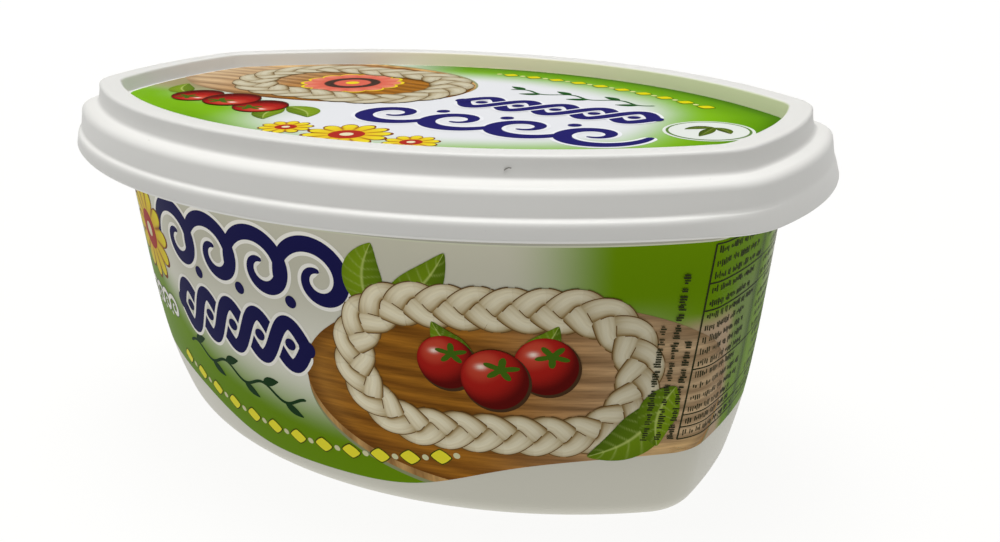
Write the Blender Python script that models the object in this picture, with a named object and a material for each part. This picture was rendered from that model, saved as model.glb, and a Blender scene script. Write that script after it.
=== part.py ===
"""A shut oval food tub: a deep tapered tub in white plastic with a stepped press-on lid.

The tub and the lid are two closed solids. Both are lofts of one kind of outline, an oval of eight
tangent arcs: two long side arcs, two end arcs and four corner arcs. Lengths below are in
millimetres, and depths are measured down from the top of the lid's rim.
"""

import math

import bmesh
import bpy

MM = 0.001

# Outline of the lid's rim, seen from above
RIM_HALF_LENGTH = 78.0
RIM_HALF_WIDTH = 52.5
RIM_CORNER_RADIUS = 12.5
RIM_END_GAP = 1.9
RIM_SIDE_GAP = 24.5

# Overall height, from the foot ring to the top of the lid's rim
HEIGHT = 79.3

# Wall of the tub: where it leaves the lid, and how it tapers towards the base
WALL_TOP_DEPTH = 14.0
WALL_TOP_OFFSET = -3.9
SIDE_SLOPE = 0.153
END_SLOPE = 0.119
KINK_DEPTH = 66.0
KINK_SLOPE = 0.226
KINK_SOFTNESS = 6.2
BASE_CORNER_RADIUS = 11.6
BASE_END_GAP = 0.2
BASE_SIDE_GAP = 17.0
CORNER_POWER = 1.8

# Rounding into the base, and the foot ring round its raised floor
BASE_FILLET = 8.5
FOOT_RING_WIDTH = 4.0
FLOOR_RISE = 1.0
FLOOR_SLOPE_WIDTH = 0.7

# Steps of the lid's outside as (offset outwards from the rim outline, depth), from the middle out
LID_OUTSIDE = (
    (-5.3, 3.2),
    (-4.8, 3.0),
    (-4.6, 0.5),
    (-4.1, 0.05),
    (-3.5, 0.0),
    (-0.6, 0.0),
    (-0.15, 0.15),
    (0.0, 0.6),
    (0.1, 1.3),
    (0.45, 3.4),
    (0.75, 4.0),
    (1.3, 4.2),
    (2.8, 4.5),
    (3.85, 5.0),
    (4.3, 6.05),
    (4.8, 9.15),
    (4.95, 9.5),
    (5.45, 9.8),
    (5.9, 10.2),
    (6.1, 11.1),
    (6.25, 12.9),
    (6.1, 13.3),
    (5.75, 13.4),
)

# Steps of its inside, from the lower lip back up to the underside of the panel
LID_INSIDE = (
    (5.4, 13.2),
    (4.85, 10.75),
    (4.0, 9.95),
    (3.45, 6.2),
    (2.8, 5.5),
    (0.1, 5.1),
    (-0.4, 4.7),
    (-0.85, 1.0),
    (-3.65, 1.0),
    (-3.85, 4.15),
)

# Steps of the tub's collar and rim under the lid, from the wall up to the level top of the solid
COLLAR = (
    (5.0, 12.9),
    (4.5, 10.95),
    (3.65, 10.2),
    (3.1, 6.4),
    (2.6, 5.85),
    (0.0, 5.45),
    (-0.75, 5.0),
    (-1.2, 1.35),
    (-3.3, 1.35),
    (-3.5, 4.5),
)
COLLAR_UNDERSIDE = 12.9

# Segments of a quarter of the outline
END_SEGMENTS = 3
CORNER_SEGMENTS = 6
SIDE_SEGMENTS = 9
FILLET_RINGS = 5
WALL_RINGS = 7


def arc(centre, radius, start, stop, segments):
    """Points of an arc, without its last one, for angles that run from start to stop."""
    angles = (start + (stop - start) * i / segments for i in range(segments))
    return [(centre[0] + radius * math.cos(t), centre[1] + radius * math.sin(t)) for t in angles]


def oval(half_length, half_width, corner_radius, end_gap, side_gap, offset=0.0):
    """Closed outline of eight tangent arcs, moved outwards by offset.

    The corner arc's centre lies end_gap plus its radius inside the end, and side_gap plus its
    radius inside the side. The end arc and the side arc are the circles through the middles of
    the end and of the side that touch the corner arc.
    """
    corner = (half_length - end_gap - corner_radius, half_width - side_gap - corner_radius)
    reach_x = half_length - corner[0]
    reach_y = half_width - corner[1]
    end_radius = (corner[1] ** 2 + reach_x ** 2 - corner_radius ** 2) / (2.0 * end_gap)
    side_radius = (corner[0] ** 2 + reach_y ** 2 - corner_radius ** 2) / (2.0 * side_gap)
    end_centre = (half_length - end_radius, 0.0)
    side_centre = (0.0, half_width - side_radius)
    end_angle = math.atan2(corner[1], corner[0] - end_centre[0])
    side_angle = math.atan2(corner[1] - side_centre[1], corner[0])
    quarter = arc(end_centre, end_radius + offset, 0.0, end_angle, END_SEGMENTS)
    quarter += arc(corner, corner_radius + offset, end_angle, side_angle, CORNER_SEGMENTS)
    quarter += arc(side_centre, side_radius + offset, side_angle, 0.5 * math.pi, SIDE_SEGMENTS)
    top = (0.0, half_width + offset)
    left = [(-x, y) for x, y in reversed(quarter[1:])]
    upper = quarter + [top] + left
    return upper + [(-x, -y) for x, y in upper]


def ring(outline, depth):
    """An outline as points in space, at a depth below the top of the lid's rim."""
    return [(x * MM, y * MM, (HEIGHT - depth) * MM) for x, y in outline]


def rim_ring(offset, depth):
    """A ring that keeps a fixed distance from the outline of the lid's rim."""
    outline = oval(RIM_HALF_LENGTH, RIM_HALF_WIDTH, RIM_CORNER_RADIUS, RIM_END_GAP, RIM_SIDE_GAP,
                   offset)
    return ring(outline, depth)


def wall_ring(depth, inset=0.0, drop=0.0):
    """A ring of the tub's wall at a depth, moved inwards by inset and down by drop.

    The wall tapers by its slopes, and bends in further below the kink. From top to base the
    corner radius and the gaps run from those of the rim to those of the base.
    """
    share = (depth - WALL_TOP_DEPTH) / (HEIGHT - WALL_TOP_DEPTH)
    below = depth - WALL_TOP_DEPTH
    bend = KINK_SLOPE * KINK_SOFTNESS * math.log1p(math.exp((depth - KINK_DEPTH) / KINK_SOFTNESS))
    half_length = RIM_HALF_LENGTH + WALL_TOP_OFFSET - END_SLOPE * below - bend
    half_width = RIM_HALF_WIDTH + WALL_TOP_OFFSET - SIDE_SLOPE * below - bend
    top_radius = RIM_CORNER_RADIUS + WALL_TOP_OFFSET
    growth = max(share, 0.0) ** CORNER_POWER
    corner_radius = top_radius + (BASE_CORNER_RADIUS - top_radius) * growth
    end_gap = RIM_END_GAP + (BASE_END_GAP - RIM_END_GAP) * share
    side_gap = RIM_SIDE_GAP + (BASE_SIDE_GAP - RIM_SIDE_GAP) * share
    outline = oval(half_length, half_width, corner_radius, end_gap, side_gap, -inset)
    return ring(outline, depth + drop)


def base_rings():
    """Rings from the middle of the raised floor out over the foot ring and round the fillet.

    The fillet is an arc that meets the foot ring level and the wall at the wall's own slope.
    Inset is how far the arc lies inside the straight wall at the same depth.
    """
    slope = SIDE_SLOPE + KINK_SLOPE
    lean = math.atan(slope)
    start = HEIGHT - BASE_FILLET * (1.0 - math.sin(lean))

    def inset_at(angle):
        depth = HEIGHT - BASE_FILLET * (1.0 - math.sin(angle))
        across = BASE_FILLET * (math.cos(lean) - math.cos(angle))
        return depth, across - slope * (depth - start)

    foot_depth, foot_inset = inset_at(0.5 * math.pi)
    floor_inset = foot_inset + FOOT_RING_WIDTH + FLOOR_SLOPE_WIDTH
    rings = [
        wall_ring(foot_depth, floor_inset, -FLOOR_RISE),
        wall_ring(foot_depth, foot_inset + FOOT_RING_WIDTH),
    ]
    for i in range(FILLET_RINGS + 1):
        angle = 0.5 * math.pi + (lean - 0.5 * math.pi) * i / FILLET_RINGS
        rings.append(wall_ring(*inset_at(angle)))
    return rings, start


def tub_rings():
    """Every ring of the tub, from the raised floor to the level top under the lid."""
    rings, fillet_start = base_rings()
    for i in range(1, WALL_RINGS + 1):
        share = (i / WALL_RINGS) ** 1.5
        rings.append(wall_ring(fillet_start + (COLLAR_UNDERSIDE - fillet_start) * share))
    rings += [rim_ring(offset, depth) for offset, depth in COLLAR]
    return rings


def lid_rings():
    """Every ring of the lid, from its underside panel round its lip to its upper panel."""
    inside = [rim_ring(offset, depth) for offset, depth in reversed(LID_INSIDE)]
    outside = [rim_ring(offset, depth) for offset, depth in reversed(LID_OUTSIDE)]
    return inside + outside


def loft(name, rings, material):
    """A closed solid through the rings, with a flat face inside the first and the last one."""
    mesh = bpy.data.meshes.new(name)
    shape = bmesh.new()
    loops = [[shape.verts.new(point) for point in points] for points in rings]
    shape.faces.new(loops[0])
    shape.faces.new(loops[-1])
    for lower, upper in zip(loops, loops[1:]):
        for i, corner in enumerate(lower):
            j = (i + 1) % len(lower)
            shape.faces.new((corner, lower[j], upper[j], upper[i]))
    bmesh.ops.recalc_face_normals(shape, faces=shape.faces)
    shape.to_mesh(mesh)
    shape.free()
    mesh.shade_smooth()
    mesh.set_sharp_from_angle(angle=math.radians(32.0))
    mesh.materials.append(material)
    solid = bpy.data.objects.new(name, mesh)
    bpy.context.scene.collection.objects.link(solid)
    return solid


def plastic(name, colour, roughness):
    """White injection-moulded plastic as a Principled material."""
    material = bpy.data.materials.new(name)
    material.use_nodes = True
    shader = material.node_tree.nodes["Principled BSDF"]
    shader.inputs["Base Color"].default_value = (*colour, 1.0)
    shader.inputs["Roughness"].default_value = roughness
    shader.inputs["Metallic"].default_value = 0.0
    return material


def main():
    for thing in list(bpy.data.objects):
        bpy.data.objects.remove(thing)
    loft("tub", tub_rings(), plastic("tub_plastic", (0.80, 0.80, 0.77), 0.38))
    loft("lid", lid_rings(), plastic("lid_plastic", (0.86, 0.86, 0.84), 0.34))


main()
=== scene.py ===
"""Looks of a shut oval food tub: white moulded plastic, printed labels, floor, light and camera.

Shapes are worked out in millimetres and put into meshes in metres. Depths are measured down from
the top of the lid's rim. Printed shapes are drawn in print coordinates, x to the right and y up,
and then laid on the wall's front, on its back or on the lid's panel.
"""

import math

import bpy
import numpy as np
from mathutils import Matrix, Vector


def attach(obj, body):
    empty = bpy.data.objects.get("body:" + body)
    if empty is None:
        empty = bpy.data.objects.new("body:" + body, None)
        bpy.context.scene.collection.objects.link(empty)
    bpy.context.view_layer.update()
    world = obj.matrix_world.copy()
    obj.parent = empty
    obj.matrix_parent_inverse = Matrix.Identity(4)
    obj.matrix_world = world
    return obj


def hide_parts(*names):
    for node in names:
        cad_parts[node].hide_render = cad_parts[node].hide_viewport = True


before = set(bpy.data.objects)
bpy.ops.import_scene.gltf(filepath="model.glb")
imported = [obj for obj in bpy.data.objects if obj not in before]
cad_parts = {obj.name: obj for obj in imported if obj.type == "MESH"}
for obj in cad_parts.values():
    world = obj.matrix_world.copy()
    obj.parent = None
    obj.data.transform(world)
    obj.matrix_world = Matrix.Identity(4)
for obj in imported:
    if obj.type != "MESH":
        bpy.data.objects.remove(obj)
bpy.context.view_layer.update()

MM = 0.001

# Outline of the lid's rim, an oval of eight tangent arcs
RIM_SHAPE = (78.0, 52.5, 12.5, 1.9, 24.5)
HEIGHT = 79.3

# Wall of the tub: where it leaves the lid, and how it tapers towards the base
WALL_TOP_DEPTH = 14.0
WALL_TOP_OFFSET = -3.9
SIDE_SLOPE = 0.153
END_SLOPE = 0.119
KINK_DEPTH = 66.0
KINK_SLOPE = 0.226
KINK_SOFTNESS = 6.2
BASE_CORNER_RADIUS = 11.6
BASE_END_GAP = 0.2
BASE_SIDE_GAP = 17.0
CORNER_POWER = 1.8
BASE_FILLET = 8.5

# The raised floor and the foot ring as (inset from the foot's edge, rise, rounding)
FOOT = ((6.5, 1.0, 0.2), (4.7, 1.0, 0.5), (4.0, 0.0, 0.4), (1.5, 0.0, 0.3))

# Steps of the lid as (offset outwards from the rim outline, depth, rounding)
LID_OUTSIDE = (
    (-5.5, 3.2, 0.5),
    (-4.6, 0.0, 0.5),
    (0.0, 0.0, 0.75),
    (0.18, 2.4, 1.2),
    (0.62, 4.1, 0.7),
    (4.1, 4.75, 1.3),
    (4.85, 9.55, 0.4),
    (6.0, 10.0, 1.1),
    (6.22, 12.85, 0.15),
    (5.85, 13.4, 0.15),
    (5.45, 13.4, 0.35),
)

# The lip's last corners at the lid's two ends, where it slants out without a ledge
LIP_AT_END = (
    (4.8, 9.2, 0.6),
    (5.2, 10.2, 0.8),
    (6.05, 13.2, 0.15),
    (5.85, 13.4, 0.1),
    (5.45, 13.4, 0.3),
)

# Where along the lid the lip begins to turn from the one form into the other, and where it ends
LIP_TURN = (66.0, 83.0)

# Steps of the lid's inside, from the lip back up to the underside of the panel
LID_INSIDE = (
    (4.85, 10.75, 0.3),
    (4.0, 9.95, 0.3),
    (3.45, 5.7, 0.8),
    (-0.3, 5.0, 0.3),
    (-0.85, 1.0, 0.4),
    (-3.65, 1.0, 0.4),
    (-3.85, 4.15, 0.2),
)

# Steps of the tub's collar and rim under the lid, from the wall up to the level top
COLLAR_UNDERSIDE = 12.9
COLLAR = (
    (-3.45, COLLAR_UNDERSIDE, 0.4),
    (5.0, COLLAR_UNDERSIDE, 0.3),
    (4.4, 10.9, 0.2),
    (3.6, 10.2, 0.2),
    (3.05, 6.1, 0.6),
    (-0.6, 5.4, 0.2),
    (-1.2, 1.35, 0.3),
    (-3.3, 1.35, 0.3),
    (-3.5, 4.5, 0.2),
)

# The recessed panel, and the colours of the light that the print throws on the recess's wall, from
# the left over the middle to the right
PANEL_DEPTH = 3.2
RECESS_OFFSET = -4.3
THROWN_LIGHT = ((1.2, 1.2, 1.2), (1.36, 1.24, 0.95), (1.1, 1.17, 0.78))

# Points along a quarter of each ring: end arc, corner arc, side arc
RING_COUNTS = (10, 16, 42)

# Sizes of the rings that fill the first and the last ring of a shell
SHRINK = (0.01, 0.25, 0.5, 0.75, 0.93)


def smooth(edge0, edge1, value):
    """Smooth step: 0 below edge0, 1 above edge1, and 3t^2 - 2t^3 between them."""
    t = np.clip((value - edge0) / (edge1 - edge0), 0.0, 1.0)
    return t * t * (3.0 - 2.0 * t)


# Outline and wall

def arcs(shape):
    """Centres, radii and limit angles of the arcs of an oval of eight tangent arcs.

    The corner arc's centre lies a gap plus the corner radius inside the end and the side. The
    radius of the arc through the middle of a side that touches the corner arc is
    (centre_across^2 + reach^2 - corner_radius^2) / (2 gap).
    """
    half_length, half_width, corner, end_gap, side_gap = shape
    cx = half_length - end_gap - corner
    cy = half_width - side_gap - corner
    reach_x = half_length - cx
    reach_y = half_width - cy
    end = (cy ** 2 + reach_x ** 2 - corner ** 2) / (2.0 * end_gap)
    side = (cx ** 2 + reach_y ** 2 - corner ** 2) / (2.0 * side_gap)
    ex = half_length - end
    sy = half_width - side
    end_angle = np.arctan2(cy, cx - ex)
    side_angle = np.arctan2(cy - sy, cx)
    return cx, cy, corner, ex, end, sy, side, end_angle, side_angle


def wall_shape(depth):
    """The oval of the tub's wall at a depth: a straight taper that bends in below the kink.

    The bend is slope * softness * log(1 + exp((depth - kink) / softness)). The corner radius
    grows as a power of the share of the height, and the gaps change evenly.
    """
    share = (depth - WALL_TOP_DEPTH) / (HEIGHT - WALL_TOP_DEPTH)
    below = depth - WALL_TOP_DEPTH
    bend = KINK_SLOPE * KINK_SOFTNESS * np.log1p(np.exp((depth - KINK_DEPTH) / KINK_SOFTNESS))
    rim_length, rim_width, rim_corner, rim_end_gap, rim_side_gap = RIM_SHAPE
    half_length = rim_length + WALL_TOP_OFFSET - END_SLOPE * below - bend
    half_width = rim_width + WALL_TOP_OFFSET - SIDE_SLOPE * below - bend
    top_corner = rim_corner + WALL_TOP_OFFSET
    growth = np.maximum(share, 0.0) ** CORNER_POWER
    corner = top_corner + (BASE_CORNER_RADIUS - top_corner) * growth
    end_gap = rim_end_gap + (BASE_END_GAP - rim_end_gap) * share
    side_gap = rim_side_gap + (BASE_SIDE_GAP - rim_side_gap) * share
    return half_length, half_width, corner, end_gap, side_gap


def ring_grid(shape, offset, depth):
    """Rings of points, one row for each level, that run anticlockwise from the +X end.

    Each quarter has its points at equal angles along the end, corner and side arcs, and is
    mirrored into the other three.
    """
    columns = [np.broadcast_to(np.asarray(v, float), depth.shape)[:, None] for v in arcs(shape)]
    cx, cy, corner, ex, end, sy, side, end_angle, side_angle = columns
    n_end, n_corner, n_side = RING_COUNTS
    quarter = []
    for x0, y0, radius, start, stop, share in (
        (ex, 0.0, end, 0.0, end_angle, np.linspace(0.0, 1.0, n_end, endpoint=False)),
        (cx, cy, corner, end_angle, side_angle, np.linspace(0.0, 1.0, n_corner, endpoint=False)),
        (0.0, sy, side, side_angle, 0.5 * np.pi, np.linspace(0.0, 1.0, n_side + 1)),
    ):
        angle = start + (stop - start) * share
        reach = radius + offset[:, None]
        quarter.append((x0 + reach * np.cos(angle), y0 + reach * np.sin(angle)))
    x, y = [np.hstack(parts) for parts in zip(*quarter)]
    x = np.hstack([x, -x[:, -2::-1], -x[:, 1:], x[:, -2:0:-1]])
    y = np.hstack([y, y[:, -2::-1], -y[:, 1:], -y[:, -2:0:-1]])
    z = np.broadcast_to((HEIGHT - depth)[:, None], x.shape)
    return x, y, z


def rounded(corners, steps=7):
    """A profile whose corners are rounded: a quadratic curve from the rounding length before each
    corner to the same length after it, or to under half of a shorter side.
    """
    corners = np.array(corners, float)
    points = corners[:, :2]

    def cut(other):
        length = np.maximum(np.linalg.norm(other - points, axis=1), 1e-9)[:, None]
        near = np.minimum(corners[:, 2:], 0.48 * length) / length
        return (points + (other - points) * near)[:, None]

    start = cut(np.vstack([points[:1], points[:-1]]))
    stop = cut(np.vstack([points[1:], points[-1:]]))
    t = np.linspace(0.0, 1.0, steps)[None, :, None]
    profile = (1 - t) ** 2 * start + 2 * t * (1 - t) * points[:, None] + t ** 2 * stop
    return profile.reshape(-1, 2)


def new_piece(name, points, faces):
    """A smooth mesh object in the scene, from points in millimetres."""
    mesh = bpy.data.meshes.new(name)
    mesh.from_pydata((points * MM).tolist(), [], faces)
    mesh.shade_smooth()
    piece = bpy.data.objects.new(name, mesh)
    bpy.context.scene.collection.objects.link(piece)
    return piece


def paint(piece, name, colours):
    """A colour attribute with a colour and alpha for each point."""
    layer = piece.data.color_attributes.new(name, "FLOAT_COLOR", "POINT")
    layer.data.foreach_set("color", colours.astype(np.float32).ravel())


def closed_shell(name, x, y, z):
    """A closed mesh through a grid of rings, with rings that shrink to the middle at both ends."""
    shrink = np.array(SHRINK)[:, None]
    x, y = [np.vstack([part[:1] * shrink, part, part[-1:] * shrink[::-1]]) for part in (x, y)]
    z = np.vstack([np.repeat(z[:1], len(shrink), 0), z, np.repeat(z[-1:], len(shrink), 0)])
    index = np.arange(x.size).reshape(x.shape)
    low = index[:-1]
    high = index[1:]
    quads = np.stack([low, np.roll(low, -1, 1), np.roll(high, -1, 1), high], -1).reshape(-1, 4)
    faces = quads.tolist() + [index[0, ::-1].tolist(), index[-1].tolist()]
    return new_piece(name, np.stack([x, y, z], -1).reshape(-1, 3), faces)


def tub_shell():
    """The tub's outside: raised floor, foot ring, fillet, wall and the collar under the lid.

    The fillet is an arc from level at the foot to the wall's slope. Its inset is the arc's
    distance inside the straight wall at the same depth.
    """
    slope = SIDE_SLOPE + KINK_SLOPE
    lean = math.atan(slope)
    angle = np.linspace(0.5 * np.pi, lean, 14)
    start = HEIGHT - BASE_FILLET * (1.0 - math.sin(lean))
    fillet_depth = HEIGHT - BASE_FILLET * (1.0 - np.sin(angle))
    across = BASE_FILLET * (math.cos(lean) - np.cos(angle))
    fillet_inset = across - slope * (fillet_depth - start)
    foot_inset = fillet_inset[0]
    floor = rounded([(foot_inset + inset, rise, reach) for inset, rise, reach in FOOT], 4)
    wall_depth = np.linspace(start, COLLAR_UNDERSIDE + 0.5, 70)[1:]
    depth = np.concatenate([np.full(len(floor), HEIGHT), fillet_depth, wall_depth])
    inset = np.concatenate([floor[:, 0], fillet_inset, 0.0 * wall_depth])
    rise = np.concatenate([floor[:, 1], 0.0 * fillet_depth, 0.0 * wall_depth])
    x, y, z = ring_grid(wall_shape(depth), -inset, depth)
    collar = rounded(COLLAR, 5)
    upper = ring_grid(RIM_SHAPE, collar[:, 0], collar[:, 1])
    rings = zip((x, y, z + rise[:, None]), upper)
    return closed_shell("tub_shell", *[np.vstack(pair) for pair in rings])


def lid_shell():
    """The lid: its underside, lip, stepped outside, level rim and recessed panel as one profile.

    Towards the ends each point runs from its place in the profile to its place in the profile
    that ends in LIP_AT_END. The points of the recess's wall keep the colour of the light that the
    print throws on them, which changes along the lid.
    """
    inside = LID_INSIDE[::-1]
    side = rounded(inside + LID_OUTSIDE[::-1])
    end = rounded(inside + (LID_OUTSIDE[:-len(LIP_AT_END)] + LIP_AT_END)[::-1])
    rings = [ring_grid(RIM_SHAPE, profile[:, 0], profile[:, 1]) for profile in (side, end)]
    share = smooth(*LIP_TURN, np.abs(rings[0][0]))
    x, y, z = [a + (b - a) * share for a, b in zip(*rings)]
    piece = closed_shell("lid_shell", x, y, z)
    recess = smooth(0.0, 0.45, side[:, 1]) * (side[:, 0] < RECESS_OFFSET)
    left, middle, right = THROWN_LIGHT
    thrown = mixed(left, middle, smooth(-60.0, -20.0, x))
    thrown = mixed(thrown, right, smooth(-20.0, 50.0, x))
    factor = mixed(np.ones(3), thrown, recess[:, None])
    factor = np.dstack([factor, np.ones(x.shape)]).reshape(-1, 4)
    cap = np.ones((len(SHRINK) * x.shape[1], 4))
    paint(piece, "thrown_light", np.vstack([cap, factor, cap]))
    return piece


# Places for print

def way_round(shape, along, away):
    """Points on an oval, or at a distance outside it, by arc length from the middle of a side.

    The length is counted off along the side arc, then the corner arc, then the end arc.
    """
    cx, cy, corner, ex, end, sy, side, end_angle, side_angle = arcs(shape)
    length = np.abs(along)
    past_side = length - side * (0.5 * np.pi - side_angle)
    past_corner = past_side - corner * (side_angle - end_angle)

    def pick(on_side, on_corner, on_end):
        return np.where(past_side < 0.0, on_side, np.where(past_corner < 0.0, on_corner, on_end))

    angle = pick(0.5 * np.pi - length / side, side_angle - past_side / corner,
                 end_angle - past_corner / end)
    radius = pick(side, corner, end) + away
    x = pick(0.0, cx, ex) + radius * np.cos(angle)
    return np.sign(along) * x, pick(sy, cy, 0.0) + radius * np.sin(angle)


def half_wrap(depth):
    """Arc length from the middle of a side to the middle of an end: radius * angle of each arc."""
    _, _, corner, _, end, _, side, end_angle, side_angle = arcs(wall_shape(depth))
    return side * (0.5 * np.pi - side_angle) + corner * (side_angle - end_angle) + end * end_angle


PRINT_MID_DEPTH = 40.0
PRINT_HALF = half_wrap(PRINT_MID_DEPTH)
FILM_HALF = PRINT_HALF - 0.05


def on_front(x, y, lift):
    """Print on the front of the wall: x is the way round from the middle of the side at mid depth.

    At other depths the way round to the end is longer or shorter. A point moves by that
    difference times the square of its share of the way.
    """
    depth = PRINT_MID_DEPTH - y
    share = x / PRINT_HALF
    spread = (half_wrap(depth) - PRINT_HALF) * share * np.abs(share)
    along, across = way_round(wall_shape(depth), x + spread, lift)
    return np.stack([along, -across, HEIGHT - depth], -1)


def on_back(x, y, lift):
    """The same print on the back of the wall, half a turn round."""
    return on_front(x, y, lift) * np.array([-1.0, -1.0, 1.0])


# The lid's upper step and the ledge round it: foot of the step, place of the ledge, and slopes
STEP_FOOT = 4.0
STEP_SLOPE = 0.15
LEDGE_OFFSET = 0.6
LEDGE_DEPTH = 4.2
LEDGE_SLOPE = 0.13


def on_rim_wall(x, y, lift):
    """Places on the upper step of the lid's front: x along it, y upwards from the step's foot."""
    depth = STEP_FOOT - y
    along, across = way_round(RIM_SHAPE, x, STEP_SLOPE * depth + lift)
    return np.stack([along, -across, HEIGHT - depth], -1)


def on_ledge(x, y, lift):
    """Places on the lid's ledge at its front: x along it, y outwards from the upper step."""
    along, across = way_round(RIM_SHAPE, x, LEDGE_OFFSET + y)
    return np.stack([along, -across, HEIGHT - LEDGE_DEPTH - LEDGE_SLOPE * y + lift], -1)


# How far the lid's print lies off the middle of its panel, to the right and to the back
LID_PRINT_SHIFT = (0.35, 0.25)


def on_lid(x, y, lift):
    """The lid's print faces up, and its upright direction runs towards the front."""
    right, back = LID_PRINT_SHIFT
    return np.stack([right - x, back - y, HEIGHT - PANEL_DEPTH + lift + 0.0 * x], -1)


# Sheets of print: grids of points in print coordinates with a lift, an ink colour and a grain

# Light on the label, and on the lid's panel where the print is plain, bright, a plait or a board
WALL_LIGHT = 0.675
PANEL_LIGHT = 1.33
BRIGHT_LIGHT = 0.6 * PANEL_LIGHT
PLAIT_LIGHT = 0.77 * PANEL_LIGHT
BOARD_LIGHT = 0.52 * PANEL_LIGHT

# No ink reflects more than white paper does
PAPER_WHITE = 0.92

# Height of the film over the plastic, and of each layer of print over the one below
FILM_LIFT = 0.04
LAYER = 0.014

# Slope of a step from one side to the other, so steep that only the very middle lies on it
STEEP = 1e6

# A stretch of a strand with fewer points isn't drawn
FEWEST_POINTS = 9

# Small print: size of a tick, distances of ticks and words, and how far upright lines go to the
# right for each millimetre upwards
TICK_HALF_HEIGHT = 0.52
TICK_GAP = 0.5
WORD_GAP = 0.6
LEAN = 0.08


def shown(red, green, blue, light=WALL_LIGHT):
    """Linear ink for a colour seen in the photo, 0 to 255, on a face with a share of the light.

    It is scaled down as a whole where it would be brighter than white paper.
    """
    c = np.array([red, green, blue]) / 255.0
    colour = np.where(c <= 0.04045, c / 12.92, ((c + 0.055) / 1.055) ** 2.4) / light
    return colour * min(1.0, PAPER_WHITE / colour.max())


def inks(light, *colours):
    """Inks for several colours seen in the photo on a face with one share of the light."""
    return [shown(*colour, light) for colour in colours]


def mixed(a, b, share):
    """From colour a to colour b by a share for each point."""
    share = np.asarray(share)[..., None]
    return np.asarray(a) * (1.0 - share) + np.asarray(b) * share


def painted(colour, *coats):
    """A colour under coats of paint, each a colour and the share that it covers at each point."""
    for coat, share in coats:
        colour = mixed(colour, coat, share)
    return colour


def sheet(x, y, layer, ink, grain=None):
    """A grid of print: x and y in mm, the layer it lies in, colours, and (u, v, strength)."""
    x, y, layer = np.broadcast_arrays(x, y, layer)
    colour = np.broadcast_to(np.asarray(ink, float), x.shape + (3,))
    marks = np.stack([part + 0.0 * x for part in grain or (0.0, 0.0, 0.0)], -1)
    return x, y, FILM_LIFT + LAYER * layer, colour, marks


def run_length(path):
    """Length of a path up to each of its points."""
    return np.concatenate([[0.0], np.cumsum(np.linalg.norm(np.diff(path, axis=0), axis=1))])


def directions(path):
    """Unit vectors along a path at its points."""
    tangent = np.gradient(path, axis=0)
    return tangent / np.linalg.norm(tangent, axis=1)[:, None]


def resampled(path, step, *tracks):
    """The path, and values kept for its points, at equal distances of about one step."""
    length = run_length(path)
    at = np.linspace(0.0, length[-1], max(int(length[-1] / step), 4) + 1)
    x, y, *tracks = [np.interp(at, length, np.broadcast_to(track, length.shape))
                     for track in (*path.T, *tracks)]
    return np.stack([x, y], 1), at, *tracks


def spots_on(path, gap):
    """Points at equal distances on a path, as near to the gap as makes them come out even."""
    length = run_length(path)
    at = np.linspace(0.0, length[-1], int(round(length[-1] / gap)) + 1)
    return np.stack([np.interp(at, length, track) for track in path.T], 1)


def ribbon(path, half_width, layer, ink, across=5, step=0.45, round_ends=True, grain=None):
    """A strip along a path: point = path + normal * half width * u, with u from -1 to 1.

    layer is a number or one value for each point of the path, and half_width the same or a
    function of the share of the length. Round ends narrow the strip as sqrt(1 - (1 - distance /
    half width)^2). ink is a colour or a function of u and the length along the strip.
    """
    shaped = callable(half_width)
    path, at, level, width = resampled(path, step, layer, 0.0 if shaped else half_width)
    if shaped:
        width = half_width(at / at[-1])
    if round_ends:
        near = np.clip(np.minimum(at, at[-1] - at) / np.maximum(width, 0.05), 0.0, 1.0)
        width = width * np.sqrt(np.maximum(1.0 - (1.0 - near) ** 2, 0.01))
    tangent = directions(path)
    u = np.linspace(-1.0, 1.0, across)[:, None]
    x = path[:, 0] - u * width * tangent[:, 1]
    y = path[:, 1] + u * width * tangent[:, 0]
    along = np.broadcast_to(at, x.shape)
    colour = ink(np.broadcast_to(u, x.shape), along) if callable(ink) else ink
    marks = grain and (u * width * grain[0], along * grain[1], grain[2])
    return sheet(x, y, level, colour, marks)


def disc(cx, cy, rx, ry, layer, ink, outline=None, count=21, grain=None):
    """A square grid bent to a disc: x = a sqrt(1 - b^2 / 2), y = b sqrt(1 - a^2 / 2).

    outline gives the radius for each angle as a factor, ink a colour for each (u, v) in the disc.
    """
    a, b = np.meshgrid(np.linspace(-1.0, 1.0, count), np.linspace(-1.0, 1.0, count))
    u = a * np.sqrt(1.0 - 0.5 * b * b)
    v = b * np.sqrt(1.0 - 0.5 * a * a)
    if outline:
        size = outline(np.arctan2(v, u))
        u = u * size
        v = v * size
    x = cx + u * rx
    y = cy + v * ry
    colour = ink(u, v) if callable(ink) else ink
    marks = grain and (x * grain[0], y * grain[1], grain[2])
    return sheet(x, y, layer, colour, marks)


def dot(x, y, radius, layer, ink, count=21, outline=None):
    """A round disc."""
    return disc(x, y, radius, radius, layer, ink, outline, count)


def stacked(x, y, layer, *dots):
    """Round discs on top of each other, each given as (radius, ink, count, outline if any)."""
    return [dot(x, y, radius, layer + k, *rest) for k, (radius, *rest) in enumerate(dots)]


def stroke(path, half_width, layer, ink):
    """A thin straight line with square ends."""
    return ribbon(path, half_width, layer, ink, across=2, round_ends=False)


def radius_of(edge):
    """A function that gives the distance of a closed outline from the origin for each angle."""
    around = np.arctan2(edge[:, 1], edge[:, 0])
    reach = np.hypot(edge[:, 0], edge[:, 1])
    return lambda angle: np.interp(angle, around, reach, period=2.0 * np.pi)


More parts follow.
